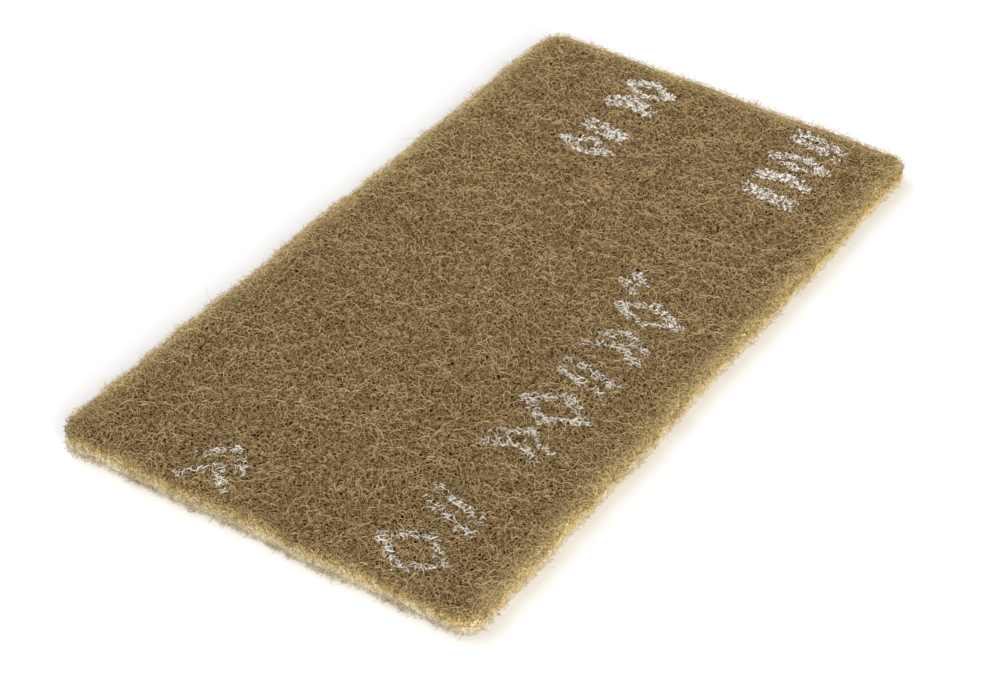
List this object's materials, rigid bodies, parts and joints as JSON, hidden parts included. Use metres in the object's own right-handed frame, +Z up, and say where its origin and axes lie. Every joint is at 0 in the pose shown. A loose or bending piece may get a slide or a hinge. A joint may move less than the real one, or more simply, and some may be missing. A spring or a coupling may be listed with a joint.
{
  "type": "non-woven abrasive pad",
  "caption": "Rectangular hand pad of felted, abrasive-coated fibre web with round corners, for scouring and matting surfaces by hand.",
  "frame": {"origin": "middle of the flat face the pad lies on", "axes": "+X along the pad's length, +Y across it, +Z up through its thickness"},
  "size_m": [0.2308, 0.1158, 0.0068],
  "materials": {
    "abrasive_web": "matt tan resin-bonded fibre web, golden at the cut sides",
    "silver_ink": "broken silver-grey print on the fibre tips"
  },
  "bodies": {
    "root": {"abrasive_pad": "abrasive_web"}
  },
  "joints": []
}
